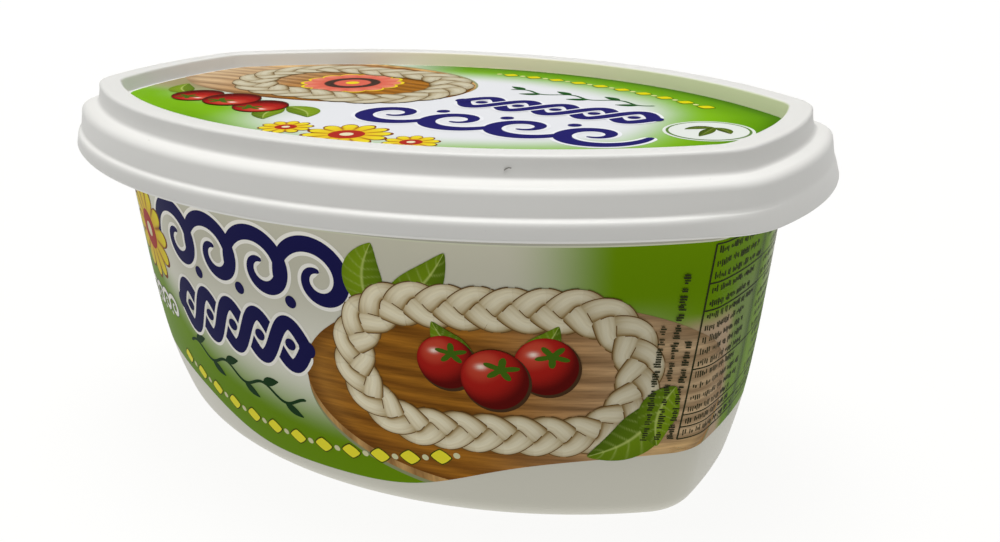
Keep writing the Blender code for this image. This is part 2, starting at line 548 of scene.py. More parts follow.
def trimmed(cx, cy, rx, ry, edge):
    """Outline of an oval that stops at an edge, for each direction from the oval's middle.

    It is the lesser of 1 and the distance of the edge, both in the oval's own radii.
    """
    reach = radius_of((edge - (cx, cy)) / (rx, ry))
    return lambda angle: np.minimum(1.0, reach(angle))


def rounded_loop(cx, cy, straight, radius, count=240):
    """A closed path of two half circles joined by straight lines, from the top middle round.

    The left half circle is moved to the left by half a straight line, and the right one to the
    right. Only the very middle at the top and at the bottom stays where it is.
    """
    turn = 0.5 * np.pi + np.linspace(0.0, 2.0 * np.pi, count)
    shift = np.clip(-STEEP * np.cos(turn), -1.0, 1.0)
    x = radius * np.cos(turn) - straight * shift
    y = radius * np.sin(turn)
    return np.stack([cx + x, cy + y], 1)


def beside(path, distance):
    """A path moved sideways: point + normal * a distance for each point."""
    tangent = directions(path)
    normal = np.stack([-tangent[:, 1], tangent[:, 0]], 1)
    return path + normal * distance[:, None]


def volute(cx, cy, size, layer, ink, halo, margin):
    """A spiral wave: radius = size * exp(-0.2 angle) from the lower left, clockwise inwards."""
    turn = np.linspace(0.0, 8.5, 300)
    angle = math.radians(195.0) - turn
    radius = size * np.exp(-0.2 * turn)
    path = np.stack([cx + radius * np.cos(angle), cy + radius * np.sin(angle)], 1)

    def width(share):
        swell = np.sin(np.pi * np.clip(0.04 + 0.96 * share, 0.0, 1.0)) ** 0.7
        return size * (0.035 + 0.135 * swell)

    return [ribbon(path, lambda share: width(share) + margin, layer, halo, step=0.3),
            ribbon(path, width, layer + 1, ink, step=0.3)]


def running_waves(path, size, layer, ink, halo, margin=0.8):
    """Volutes set along a path at about 1.4 times their size, over small dots below each."""
    spots = spots_on(path, 1.42 * size)
    sheets = []
    for k, (x, y) in enumerate(spots):
        sheets += volute(x, y, size, layer + 0.5 * (k % 2), ink, halo, margin)
    for x, y in 0.5 * (spots[:-1] + spots[1:]):
        sheets.append(dot(x - 0.05 * size, y - 0.56 * size, 0.13 * size, layer + 1, ink, 11))
    return sheets


def twist_pair(path, swing, pitch, half_width, layer, ink, halo):
    """Two strands that cross over and under each other, with a dot in each eye between them.

    Strand k lies swing * sin(pi s / pitch) to one side of the path or the other, and its layer
    goes up and down with cos(pi s / pitch), so that the crossings alternate.
    """
    line, at = resampled(path, 0.3)
    pitch = at[-1] / round(at[-1] / pitch)
    phase = np.pi * at / pitch
    sheets = []
    for side in (1.0, -1.0):
        strand = beside(line, side * swing * np.sin(phase))
        level = layer + 1.6 + 1.5 * side * np.cos(phase)
        sheets.append(ribbon(strand, half_width + 0.7, level - 0.6, halo, step=0.35))
        sheets.append(ribbon(strand, half_width, level, ink, step=0.35))
    for x, y in (line[0], line[-1]):
        sheets.append(dot(x, y, 1.25 * half_width, layer + 4, ink, 15))
    for s in np.arange(0.5 * pitch, at[-1], pitch):
        x, y = [np.interp(s, at, track) for track in line.T]
        sheets.append(dot(x, y, 0.27 * swing, layer + 1, ink, 11))
    return sheets


def strand_ink(light, start, stop):
    """Cream, paler along the middle, darker at the edges and where the strand lies underneath.

    start and stop are shares of the way from one outermost place of the strand to the next.
    """
    pale, warm, deep = inks(light, (184, 177, 154), (160, 147, 114), (106, 82, 42))

    def ink(u, v):
        share = start + (stop - start) * v / v.max()
        under = np.exp(-((share - 0.68) / 0.2) ** 2)
        edge = np.abs(u + 0.12) ** 2.4
        furrow = np.exp(-((u - 0.38) / 0.10) ** 2) + np.exp(-((u + 0.42) / 0.12) ** 2)
        return painted(pale, (warm, np.clip(0.9 * edge + 0.3 * furrow + 0.7 * under, 0.0, 1.0)),
                       (deep, np.clip(0.6 * edge ** 2 + 0.45 * under, 0.0, 0.9)))

    return ink


def plait(path, swing, period, half_width, layer, light=WALL_LIGHT, fade=0.0):
    """Three strands a third of a period apart round a closed path, swing * sin(angle) beside it.

    Each strand is cut at its outermost places, where nothing crosses it. From one such place to
    the next its layer sinks, which takes it over one neighbour and under the other, and it is
    half_width * (1 + sin^2 / 3) wide, so that the strands close up in the middle. Its tone gets
    darker by the fade for each millimetre to the right: painted light left of the middle and
    painted shade right of it.
    """
    line, at = resampled(path, 0.1)
    middle = line[:, 0].mean()
    turns = round(at[-1] / period)
    rim = shown(84, 62, 34, light)
    sheets = []
    for third in range(3):
        angle = 2.0 * np.pi * (turns * at / at[-1] + third / 3.0)
        strand = beside(line, swing * np.sin(angle))
        share = angle / np.pi - 0.5
        width = half_width * (1.0 + np.sin(np.pi * share) ** 2 / 3.0)
        for k in range(math.floor(share[0]), math.ceil(share[-1])):
            part = share - k
            level = layer + 3.0 * (1.0 - part)
            inner = (part >= 0.03) & (part <= 0.97)
            if inner.sum() >= FEWEST_POINTS:
                sheets.append(ribbon(strand[inner], width[inner] + 0.2, level[inner] - 0.4, rim,
                                     step=0.3, round_ends=False))
            whole = (part >= -0.015) & (part <= 1.015)
            if whole.sum() >= FEWEST_POINTS:
                ink = strand_ink(light, part[whole][0], part[whole][-1])
                x, y, lift, colour, marks = ribbon(strand[whole], width[whole], level[whole], ink,
                                                   across=15, step=0.25, round_ends=False,
                                                   grain=(2.6, 0.25, 0.12))
                # Painted light left of the middle and painted shade right of it
                tone = 1.0 - fade * (x - middle)
                sheets.append((x, y, lift, colour * tone[..., None], marks))
    return sheets


def fruit(cx, cy, radius, layer, turn, light=WALL_LIGHT):
    """A round red fruit drawn as a lit ball with a highlight, and its green star of sepals.

    The ball stands sqrt(1 - u^2 - v^2) high and is lit from the upper left.
    """
    dark, red, bright = inks(light, (72, 10, 8), (136, 24, 18), (176, 74, 52))
    white, shadow, green = inks(light, (206, 190, 178), (56, 38, 22), (52, 82, 14))

    def ink(u, v):
        height = np.sqrt(np.maximum(1.0 - u * u - v * v, 0.0))
        lit = np.clip(-0.36 * u + 0.5 * v + 0.78 * height, 0.0, 1.0)
        shine = np.exp(-((u + 0.38) ** 2 + ((v - 0.42) * 1.7) ** 2) / 0.02)
        return painted(dark, (red, smooth(0.0, 0.75, lit)), (bright, 0.55 * smooth(0.72, 1.0, lit)),
                       (white, np.clip(shine, 0.0, 0.92)))

    def star(angle):
        return 0.34 + 0.66 * np.abs(np.cos(2.5 * (angle - turn))) ** 2.2

    return [
        dot(cx + 0.35, cy - 0.45, radius * 1.03, layer, shadow),
        dot(cx, cy, radius, layer + 1, ink, 31),
        disc(cx + 0.2 * radius, cy + 0.36 * radius, 0.56 * radius, 0.4 * radius, layer + 2, green,
             star, 33),
    ]


def leaf(x0, y0, x1, y1, half_width, bend, layer, tone, light=WALL_LIGHT):
    """A leaf along a bent midrib; half width = w sin(pi t)^0.8 (1.15 - 0.45 t), t from the stalk.

    The two halves differ in tone, and lighter veins slant from the pale midrib to the edge.
    """
    t = np.linspace(0.0, 1.0, 60)
    side = np.array([-(y1 - y0), x1 - x0])
    path = np.stack([x0 + (x1 - x0) * t, y0 + (y1 - y0) * t], 1)
    path = path + np.sin(np.pi * t)[:, None] * bend * side
    length = math.hypot(x1 - x0, y1 - y0)
    dark = mixed(*inks(light, (44, 62, 10), (66, 90, 8)), tone)
    pale = mixed(*inks(light, (80, 103, 12), (105, 129, 17)), tone)
    vein = shown(144, 156, 84, light)

    def width(share):
        return 0.03 * half_width + half_width * np.sin(np.pi * share) ** 0.8 * (1.15 - 0.45 * share)

    def ink(u, v):
        share = v / length
        fold = smooth(-0.12, 0.12, u)
        slant = (share * 7.5 - np.abs(u) * 0.85) % 1.0
        side_vein = np.exp(-((slant - 0.5) / 0.07) ** 2) * (1.0 - 0.6 * np.abs(u))
        middle = np.exp(-(u / 0.055) ** 2)
        return painted(dark, (pale, 0.18 + 0.5 * fold + 0.3 * np.sin(3.0 * share) * (1 - u * u)),
                       (vein, np.clip(0.5 * side_vein + 0.85 * middle, 0.0, 1.0)))

    return [ribbon(path, width, layer, ink, across=19, step=0.3, round_ends=False)]


def rosette(cx, cy, radius, petals, layer, light=WALL_LIGHT):
    """A flower of rounded petals in yellow, amber towards its red and cream middle.

    Its outline is 0.74 + 0.26 |cos(petals / 2 * angle)|^0.7 of the radius.
    """
    yellow, amber, brown = inks(light, (188, 176, 34), (178, 128, 26), (132, 76, 20))
    rim, red, cream = inks(light, (104, 54, 24), (140, 34, 26), (184, 176, 146))

    def scallop(angle):
        return 0.74 + 0.26 * np.abs(np.cos(0.5 * petals * angle)) ** 0.7

    def petal_ink(u, v):
        reach = np.hypot(u, v)
        line = np.abs(np.cos(0.5 * petals * np.arctan2(v, u) + 0.5 * np.pi)) ** 14
        return painted(yellow, (amber, 1.0 - reach), (brown, line * smooth(0.3, 0.6, reach)))

    return stacked(cx, cy, layer, (1.07 * radius, rim, 45, scallop),
                   (radius, petal_ink, 61, scallop), (0.42 * radius, red),
                   (0.16 * radius, cream, 13))


def bead_row(path, size, gap, layer, ink, second, rim):
    """Lozenges with a thin rim and small dots in turn along a path."""
    sheets = []
    for k, (x, y) in enumerate(spots_on(path, gap)):
        if k % 2:
            sheets.append(dot(x, y, 0.42 * size, layer, second, 9))
            continue
        for wider, level, colour in ((0.3, layer, rim), (0.0, layer + 1, ink)):
            sheets.append(disc(x, y, 1.25 * size + wider, size + wider, level, colour, lozenge, 15))
    return sheets


def lozenge(angle):
    """Radius of a slightly swollen diamond: 1 / (|cos|^1.25 + |sin|^1.25)^0.8."""
    return 1.0 / (np.abs(np.cos(angle)) ** 1.25 + np.abs(np.sin(angle)) ** 1.25) ** 0.8


def vine(path, swing, pitch, layer, ink, leaf_size):
    """A thin stem, swing * sin(pi s / pitch) beside a path, with a leaf outside each bend.

    A leaf curls away from the stem, and its half width is size * (0.03 + 0.2 sin(pi t^0.8)).
    """
    line, at = resampled(path, 0.4)
    stem = beside(line, swing * np.sin(np.pi * at / pitch))
    tangent = directions(line)
    sheets = [ribbon(stem, 0.36, layer, ink)]

    def width(share):
        return leaf_size * (0.03 + 0.2 * np.sin(np.pi * share ** 0.8))

    for k, s in enumerate(np.arange(0.5 * pitch, at[-1], pitch)):
        side = -1.0 if k % 2 else 1.0
        i = int(np.searchsorted(at, s))
        tx, ty = tangent[i]
        reach = np.linspace(0.0, leaf_size, 20)
        curl = side * 0.6 * reach * (1.0 - 0.06 * reach)
        x = stem[i, 0] + reach * tx - curl * ty
        y = stem[i, 1] + reach * ty + curl * tx
        sheets.append(ribbon(np.stack([x, y], 1), width, layer + 0.4 + 0.4 * (k % 2), ink, across=7,
                             step=0.3, round_ends=False))
    return sheets


def board(cx, cy, rx, ry, layer, light, edge):
    """An oval wooden board, tan to the right, with a paler rim below, cut at the print's edge."""
    brown, tan, deep, umber = inks(light, (130, 84, 24), (158, 136, 106), (82, 47, 12),
                                   (112, 90, 64))
    amber, sand, pale, shade = inks(light, (144, 102, 46), (166, 136, 92), (158, 124, 76),
                                    (112, 116, 84))

    def part(drop, level, ink, grain=None):
        outline = trimmed(cx, cy - drop, rx, ry, edge)
        return disc(cx, cy - drop, rx, ry, level, ink, outline, 101, grain)

    def top_ink(u, v):
        side = smooth(-0.3, 0.9, u)
        dark_wood = mixed(deep, umber, side)
        rings = np.sin(34.0 * v + 5.0 * np.sin(1.6 * u + 0.6) + 2.0 * np.sin(5.1 * v))
        return painted(mixed(brown, tan, side), (dark_wood, 0.35 + 0.35 * rings),
                       (amber, 0.6 * smooth(-0.7, -1.0, u)),
                       (sand, 0.8 * smooth(0.2, 0.6, u) * smooth(-0.38, -0.48, v)),
                       (dark_wood, 0.7 * smooth(0.9, 1.0, np.hypot(u, v))))

    def rim_ink(u, v):
        return mixed(pale, deep, 0.3 + 0.25 * np.sin(40.0 * u + 3.0 * np.sin(9.0 * u)))

    return [
        part(2.9, layer, shade),
        part(1.9, layer + 1, rim_ink, (1.2, 0.25, 0.35)),
        part(0.0, layer + 2, top_ink, (0.09, 1.5, 0.5)),
    ]


def tick_row(start, step, reach, rng, layer, ink):
    """Groups of small upright ticks along a row, like words of small print but without letters.

    start is the row's beginning and step its direction, both (x, y). Ticks differ in length and
    height, and some stand a little above or below the row.
    """
    (x0, y0), (dx, dy) = start, step
    sheets = []
    s = 0.0
    while s < reach - 2.0 * WORD_GAP:
        for _ in range(min(rng.integers(2, 10), int((reach - s) / TICK_GAP))):
            tall = TICK_HALF_HEIGHT * rng.choice((0.6, 1.0, 1.0, 1.3))
            shift = TICK_HALF_HEIGHT * rng.choice((-0.3, 0.0, 0.0, 0.3))
            thick = rng.uniform(0.22, 0.36)
            a = np.array([x0 + s * dx - shift * dy, y0 + s * dy + shift * dx])
            sheets.append(stroke(np.stack([a, a + thick * np.array([dx, dy])]), tall, layer, ink))
            s += TICK_GAP
        s += WORD_GAP
    return sheets


def ruled_table(left, bottom, sections, rng, layer, ink):
    """A ruled table over the middle of an end, one half at each end of the print.

    sections are (rows of ticks, height) from the bottom up. The table's edge leans.
    """
    levels = bottom + np.cumsum([0.0] + [height for _, height in sections])
    starts = left + LEAN * (levels - bottom)
    stop = PRINT_HALF - 0.1
    sheets = []
    for side, level in ((1.0, layer), (-1.0, 1)):
        for x, y in zip(starts, levels):
            sheets.append(stroke(np.array([(side * x, y), (side * stop, y)]), 0.14, level, ink))
        sheets.append(stroke(np.stack([side * starts, levels], 1), 0.17, level + 1, ink))
        for x, low, (rows, height) in zip(starts, levels, sections):
            for above in (np.arange(rows) + 0.5) * height / rows:
                first = x + LEAN * above + 0.9
                reach = (stop - first) * rng.uniform(0.75, 1.0)
                sheets += tick_row((side * first, low + above), (side, 0.0), reach, rng, level, ink)
    return sheets


# Materials

def add_node(tree, kind, inputs=None, **settings):
    """A node with its settings and the constants or links of its inputs."""
    node = tree.nodes.new(kind)
    for key, value in settings.items():
        setattr(node, key, value)
    for key, value in (inputs or {}).items():
        if isinstance(value, bpy.types.NodeSocket):
            tree.links.new(value, node.inputs[key])
        else:
            node.inputs[key].default_value = value
    return node


def noise_of(tree, place, scale, **inputs):
    """The output of a noise texture."""
    inputs = {"Vector": place, "Scale": scale, **inputs}
    return add_node(tree, "ShaderNodeTexNoise", inputs).outputs["Fac"]


def worked_out(tree, operation, *values):
    """The output of a math node."""
    return add_node(tree, "ShaderNodeMath", dict(enumerate(values)), operation=operation).outputs[0]


def colour_mix(tree, factor, a, b):
    """The output of a colour mix from a to b."""
    inputs = {"Factor": factor, 6: a, 7: b}
    return add_node(tree, "ShaderNodeMix", inputs, data_type="RGBA").outputs[2]


def new_material(name, roughness, specular):
    """An empty material, its tree and its shader."""
    material = bpy.data.materials.new(name)
    material.use_nodes = True
    shader = material.node_tree.nodes["Principled BSDF"]
    shader.inputs["Roughness"].default_value = roughness
    shader.inputs["Specular IOR Level"].default_value = specular
    return material, material.node_tree, shader


def new_group(name, given, outputs):
    """A node group with one number given to it and its outputs, and object coordinates in it."""
    group = bpy.data.node_groups.new(name, "ShaderNodeTree")
    group.interface.new_socket(given, in_out="INPUT", socket_type="NodeSocketFloat")
    for label, kind in outputs:
        group.interface.new_socket(label, in_out="OUTPUT", socket_type=kind)
    number = add_node(group, "NodeGroupInput").outputs[given]
    return group, number, add_node(group, "ShaderNodeTexCoord").outputs["Object"]


def unevenness_group():
    """Slow and fine noise of moulded plastic, as a mottle from 0 to 1 and as a bumped normal.

    The height is the slow noise and 0.05 of the fine one. Relief is the strength of the bump.
    """
    outputs = (("Mottle", "NodeSocketFloat"), ("Normal", "NodeSocketVector"))
    group, relief, place = new_group("soft_unevenness", "Relief", outputs)
    slow = noise_of(group, place, 38.0, Detail=2.0)
    fine = noise_of(group, place, 950.0, Detail=2.0)
    height = worked_out(group, "MULTIPLY_ADD", fine, 0.05, slow)
    bump = add_node(group, "ShaderNodeBump",
                    {"Height": height, "Strength": relief, "Distance": 0.0006})
    add_node(group, "NodeGroupOutput", {"Mottle": slow, "Normal": bump.outputs["Normal"]})
    return group


def speck_group():
    """Few small round specks: a mask near the points of some cells of a cell pattern.

    A cell is chosen where its random red is above 0.86, its speck reaches 0.035 of its random
    green, and Amount is what the mask says on a speck.
    """
    group, given, place = new_group("dust_specks", "Amount", (("Mask", "NodeSocketFloat"),))
    cells = add_node(group, "ShaderNodeTexVoronoi", {"Vector": place, "Scale": 120.0})
    parts = add_node(group, "ShaderNodeSeparateXYZ", {"Vector": cells.outputs["Color"]})
    chosen = worked_out(group, "GREATER_THAN", parts.outputs["X"], 0.86)
    size = worked_out(group, "MULTIPLY", parts.outputs["Y"], 0.035)
    near = worked_out(group, "LESS_THAN", cells.outputs["Distance"], size)
    speck = worked_out(group, "MULTIPLY", chosen, near)
    add_node(group, "NodeGroupOutput", {"Mask": worked_out(group, "MULTIPLY", speck, given)})
    return group


UNEVENNESS = unevenness_group()
SPECKS = speck_group()
SPECK_GREY = (0.22, 0.20, 0.17, 1.0)

# The lighter and the darker tone of each plastic
TUB_TONES = ((0.585, 0.57, 0.485, 1.0), (0.565, 0.55, 0.465, 1.0))
LID_TONES = ((0.65, 0.645, 0.62, 1.0), (0.626, 0.621, 0.597, 1.0))


def plastic(name, tones, roughness, specular, thrown=None):
    """White moulded plastic: a slight mottle between two tones, a soft bump, a few grey specks.

    thrown names an attribute that multiplies the colour.
    """
    material, tree, shader = new_material(name, roughness, specular)
    noise = add_node(tree, "ShaderNodeGroup", {"Relief": 0.35}, node_tree=UNEVENNESS)
    dust = add_node(tree, "ShaderNodeGroup", {"Amount": 0.5}, node_tree=SPECKS)
    tone = colour_mix(tree, noise.outputs["Mottle"], *tones)
    last = colour_mix(tree, dust.outputs["Mask"], tone, SPECK_GREY)
    if thrown:
        factor = add_node(tree, "ShaderNodeAttribute", attribute_name=thrown)
        lit = add_node(tree, "ShaderNodeVectorMath", {0: last, 1: factor.outputs["Color"]},
                       operation="MULTIPLY")
        last = lit.outputs["Vector"]
    tree.links.new(last, shader.inputs["Base Color"])
    tree.links.new(noise.outputs["Normal"], shader.inputs["Normal"])
    return material


def ink_material():
    """Printed film: the ink colour, made lighter and darker by a fine grain noise."""
    material, tree, shader = new_material("printed_film", 0.4, 0.012)
    ink = add_node(tree, "ShaderNodeAttribute", attribute_name="ink")
    grain = add_node(tree, "ShaderNodeAttribute", attribute_name="grain")
    parts = add_node(tree, "ShaderNodeSeparateXYZ", {"Vector": grain.outputs["Vector"]}).outputs
    place = add_node(tree, "ShaderNodeCombineXYZ", {"X": parts["X"], "Y": parts["Y"]})
    noise = noise_of(tree, place.outputs["Vector"], 1.0, Detail=4.0, Roughness=0.6)
    swing = worked_out(tree, "MULTIPLY_ADD", noise, 3.0, -1.5)
    amount = worked_out(tree, "MULTIPLY_ADD", swing, parts["Z"], 1.0)
    tint = add_node(tree, "ShaderNodeVectorMath", {0: ink.outputs["Color"], "Scale": amount},
                    operation="SCALE")
    tree.links.new(tint.outputs["Vector"], shader.inputs["Base Color"])
    return material


INK = ink_material()


def lay(name, jobs):
    """One mesh of many sheets. Each job is a placing function and the sheets it places.

    A sheet whose grid runs the wrong way round is turned over, so that all faces look outwards.
    """
    points, faces, inks, grains = [], [], [], []
    count = 0
    for place, sheets in jobs:
        for x, y, lift, colour, marks in sheets:
            area = np.diff(x, axis=1)[:-1] * np.diff(y, axis=0)[:, :-1]
            area = area - np.diff(y, axis=1)[:-1] * np.diff(x, axis=0)[:, :-1]
            if area.sum() < 0.0:
                x, y, lift, colour, marks = [part[::-1] for part in (x, y, lift, colour, marks)]
            index = count + np.arange(x.size).reshape(x.shape)
            quads = [index[:-1, :-1], index[:-1, 1:], index[1:, 1:], index[1:, :-1]]
            points.append(place(x, y, lift).reshape(-1, 3))
            faces.append(np.stack(quads, -1).reshape(-1, 4))
            inks.append(colour.reshape(-1, 3))
            grains.append(marks.reshape(-1, 3))
            count += x.size
    piece = new_piece(name, np.vstack(points), np.vstack(faces).tolist())
    paint(piece, "ink", np.hstack([np.vstack(inks), np.ones((count, 1))]))
    layer = piece.data.attributes.new("grain", "FLOAT_VECTOR", "POINT")
    layer.data.foreach_set("vector", np.vstack(grains).astype(np.float32).ravel())
    piece.data.materials.append(INK)
    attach(piece, "root")
    return piece


# The label round the tub

LABEL_TOP_DEPTH = 17.3
WHITE = shown(184, 183, 171)
# Painted shade of the lid's lip on the label's white, used in its upper part
LIP_SHADE_WHITE = shown(162, 160, 145)
HALO = shown(199, 197, 190)
GREEN = shown(92, 122, 17)
DEEP_GREEN = shown(82, 112, 2)
# A painted sheen that greys the green near the right end
SHEEN_GREEN = shown(98, 114, 66)
# Painted shade on the green at both ends of the label
END_SHADE_GREEN = shown(60, 78, 34)
BROWN = shown(148, 128, 104)
NAVY = shown(20, 19, 62)
SMALL_PRINT = shown(38, 40, 24)
# Painted shadow of the lid's lip on the wall above the label, and the label's lighter top edge
LIP_SHADOW_BAND = shown(142, 141, 130)
TOP_LINE = shown(166, 167, 148)


def label_bottom(x):
    """Depth of the label's lower edge: 60.5 far out, and 12.2 / (1 + ((x + 5) / 37)^4) more."""
    return 60.5 + 12.2 / (1.0 + ((x + 5.0) / 37.0) ** 4)


def label_edge():
    """The label's outline as a closed path, anticlockwise from its lower left corner."""
    x = np.linspace(-PRINT_HALF, PRINT_HALF, 121)
    low = np.stack([x, PRINT_MID_DEPTH - label_bottom(x)], 1)
    high = np.stack([x[::-1], np.full(x.shape, PRINT_MID_DEPTH - LABEL_TOP_DEPTH)], 1)
    side = np.linspace(0.0, 1.0, 30)[:, None]
    right = low[-1] + (high[0] - low[-1]) * side
    left = high[-1] + (low[0] - high[-1]) * side
    return np.vstack([low, right, high, left])


def label_field(x, y):
    """White that turns green towards the lower left, the upper right and both ends.

    Painted shade of the lid's lip makes the white greyer in the upper part, but not near the left
    end. At the very ends the green darkens to a painted shade, and near the right end a painted
    sheen makes it greyer.
    """
    line = -19.5 + np.minimum(20.5 * np.exp(-(x + 55.0) / 27.0), 26.0)
    lower = 1.0 - smooth(line - 8.0, line + 8.0, y)
    corner = smooth(38.0, 58.0, x) * smooth(-6.0, 13.0, y)
    right = smooth(60.0, 74.0, x)
    left = smooth(-76.0, -92.0, x)
    green = 1.0 - (1.0 - lower) * (1.0 - corner) * (1.0 - right) * (1.0 - left)
    low = np.clip(smooth(-6.0, -24.0, y) + smooth(2.0, 14.0, y) * smooth(42.0, 60.0, x), 0.0, 1.0)
    # Share of painted shade of the lid's lip in the upper part
    grey = smooth(-4.0, 13.0, y) * smooth(-54.0, -36.0, x)
    wood = smooth(66.0, 74.0, x) * (1.0 - smooth(82.0, 87.0, x + 0.12 * y)) * smooth(9.0, 5.0, y)
    # Share of painted sheen near the right end
    painted_sheen = smooth(80.0, 86.0, x) * smooth(-20.0, 4.0, y) * (1.0 - smooth(8.0, 18.0, y))
    return painted(WHITE, (LIP_SHADE_WHITE, grey), (mixed(GREEN, DEEP_GREEN, low), green), (BROWN, wood),
                   (SHEEN_GREEN, 0.8 * painted_sheen * (1.0 - wood)),
                   (END_SHADE_GREEN, 0.85 * smooth(90.5, 94.5, np.abs(x))))


def label_film(layer):
    """The whole label as one sheet, its sides at the middle of the tub's ends."""
    s, t = np.meshgrid(np.linspace(-1.0, 1.0, 301), np.linspace(1.0, 0.0, 70))
    x = s * FILM_HALF
    depth = LABEL_TOP_DEPTH + t * (label_bottom(x) - LABEL_TOP_DEPTH)
    y = PRINT_MID_DEPTH - depth
    return [sheet(x, y, layer, label_field(x, y))]


def curve(x0, x1, height, count=120):
    """A path from x0 to x1 at a height that is a number or a function of x."""
    x = np.linspace(x0, x1, count)
    return np.stack([x, height(x) if callable(height) else np.full(count, height)], 1)


def each(draw, places, **rest):
    """The sheets of one kind of shape at several places."""
    return [part for place in places for part in draw(*place, **rest)]


def wall_art():
    """The sheets of the wall's print by group."""
    art = {}
    art["boards"] = board(40.0, -9.0, 44.0, 21.5, 1, WALL_LIGHT, label_edge())
    ring = rounded_loop(35.5, -3.2, 14.0, 13.4)
    art["plaits"] = plait(ring, 3.0, 18.0, 1.55, 8, fade=0.0055)
    art["fruits"] = each(fruit, ((27.0, -1.4, 5.6, 13, 0.3), (45.6, -1.2, 6.0, 13, 0.9),
                                 (36.0, -4.4, 6.4, 16, 1.4)))
    art["leaves"] = each(leaf, ((13.0, 8.0, 15.0, 21.6, 4.2, 0.12, 5, 0.7),
                                (15.0, 8.5, 28.5, 20.8, 3.9, -0.10, 6, 0.35),
                                (68.5, -8.0, 53.5, -21.0, 4.8, 0.14, 15, 0.2),
                                (70.0, -6.0, 67.5, -19.0, 4.2, -0.14, 16, 0.6),
                                (33.0, -1.0, 25.0, 7.0, 3.0, 0.12, 12, 0.5),
                                (40.0, -0.5, 48.0, 7.2, 3.0, -0.12, 12, 0.3)))
    art["waves"] = running_waves(curve(-39.5, 2.5, 12.2), 10.4, 2, NAVY, HALO)
    line = curve(-45.0, -3.0, lambda x: -3.2 - 0.0008 * (x + 25.0) ** 2)
    art["twists"] = twist_pair(line, 4.9, 8.4, 1.6, 2, NAVY, HALO)
    art["rosettes"] = rosette(-58.5, 9.5, 11.0, 12, 3)
    stem = curve(-46.0, -6.0, lambda x: -13.5 - 4.2 * smooth(-50.0, 0.0, x))
    art["vines"] = vine(stem, 1.3, 6.2, 2, shown(20, 46, 20), 4.6)
    beads = curve(-52.0, 27.0, lambda x: -26.6 + 6.0 * ((x + 7.0) / 42.0) ** 2)
    art["beads"] = bead_row(beads, 1.7, 3.5, 4, shown(190, 182, 42), shown(170, 168, 132),
                            shown(52, 58, 12))
    art["white_waves"] = running_waves(curve(-69.0, -53.0, -8.0), 3.7, 2, HALO, shown(84, 100, 62),
                                       margin=0.35)
    # Painted shadow under the lid's lip above the label, and a lighter line at the label's top edge
    edge = curve(-FILM_HALF, FILM_HALF, PRINT_MID_DEPTH - LABEL_TOP_DEPTH)
    art["top_band"] = [ribbon(edge + (0.0, 0.75), 0.75, 1, LIP_SHADOW_BAND, round_ends=False),
                       ribbon(edge + (0.0, 0.1), 0.15, 2, TOP_LINE, round_ends=False)]
    rng = np.random.default_rng(5)
    sections = ((1, 2.7), (1, 2.7), (4, 9.7), (5, 11.8), (2, 5.4), (3, 7.6))
    art["small_print"] = ruled_table(71.6, -17.9, sections, rng, 4, SMALL_PRINT)
    for x, reach in ((64.7, 24.8), (67.3, 34.8), (69.9, 21.3)):
        art["small_print"] += tick_row((x, -17.6), (LEAN, 1.0), reach, rng, 18, SMALL_PRINT)
    return art


# The print on the lid

PRINT_MARGIN = 5.95
LID_WHITE = shown(228, 229, 232, PANEL_LIGHT)
LID_HALO = shown(236, 237, 240, PANEL_LIGHT)
LID_GREEN = shown(126, 182, 22, PANEL_LIGHT)
LID_DEEP_GREEN = shown(90, 144, 0, PANEL_LIGHT)
# Painted shade at the very edge of the lid's print, at its lower left
LID_EDGE_SHADE_GREEN = shown(64, 110, 0, PANEL_LIGHT)
LID_OLIVE = shown(158, 147, 108, PANEL_LIGHT)
LID_NAVY = shown(36, 32, 104, PANEL_LIGHT)
HAIR_GREY = (0.24, 0.23, 0.21)
MARK_GREY = (0.42, 0.41, 0.38)


def panel_outline():
    """The lid print's outline as a path in print coordinates."""
    x, y, _ = ring_grid(RIM_SHAPE, np.array([-PRINT_MARGIN]), np.array([PANEL_DEPTH]))
    return np.stack([x[0], y[0]], 1)


PANEL_EDGE = panel_outline()
panel_radius = radius_of(PANEL_EDGE)


def lid_field(x, y):
    """White in the middle and green all round, deeper towards the edge, deepest at lower left."""
    reach = np.hypot(x, y) / panel_radius(np.arctan2(y, x))
    lower = smooth(0.58, 0.88, reach) * smooth(26.0, -10.0, x + 0.6 * y)
    end = smooth(-44.0, -60.0, x + 0.25 * y)
    upper = smooth(0.62, 0.95, reach) * smooth(-6.0, 16.0, y) * (0.7 + 0.3 * smooth(-8.0, 30.0, x))
    right = smooth(16.0, 40.0, x) * smooth(6.0, 24.0, y)
    green = 1.0 - (1.0 - lower) * (1.0 - end) * (1.0 - upper) * (1.0 - right)
    deep = smooth(0.76, 0.98, reach) * (1.0 - 0.8 * smooth(30.0, 55.0, x))
    # Share of painted shade at the very edge, at lower left
    shady = smooth(0.93, 1.0, reach) * smooth(25.0, 0.0, x) * smooth(6.0, -6.0, y)
    wood = smooth(44.0, 58.0, x) * smooth(16.0, 6.0, y)
    ink = painted(LID_GREEN, (LID_DEEP_GREEN, deep), (LID_EDGE_SHADE_GREEN, shady))
    return painted(LID_WHITE, (ink, green), (LID_OLIVE, wood))


def lid_film(layer):
    """One sheet over the lid's panel: a square grid bent to the print's outline."""
    x, y = disc(0.0, 0.0, 1.0, 1.0, layer, LID_WHITE, outline=panel_radius, count=161)[:2]
    return [sheet(x, y, layer, lid_field(x, y))]


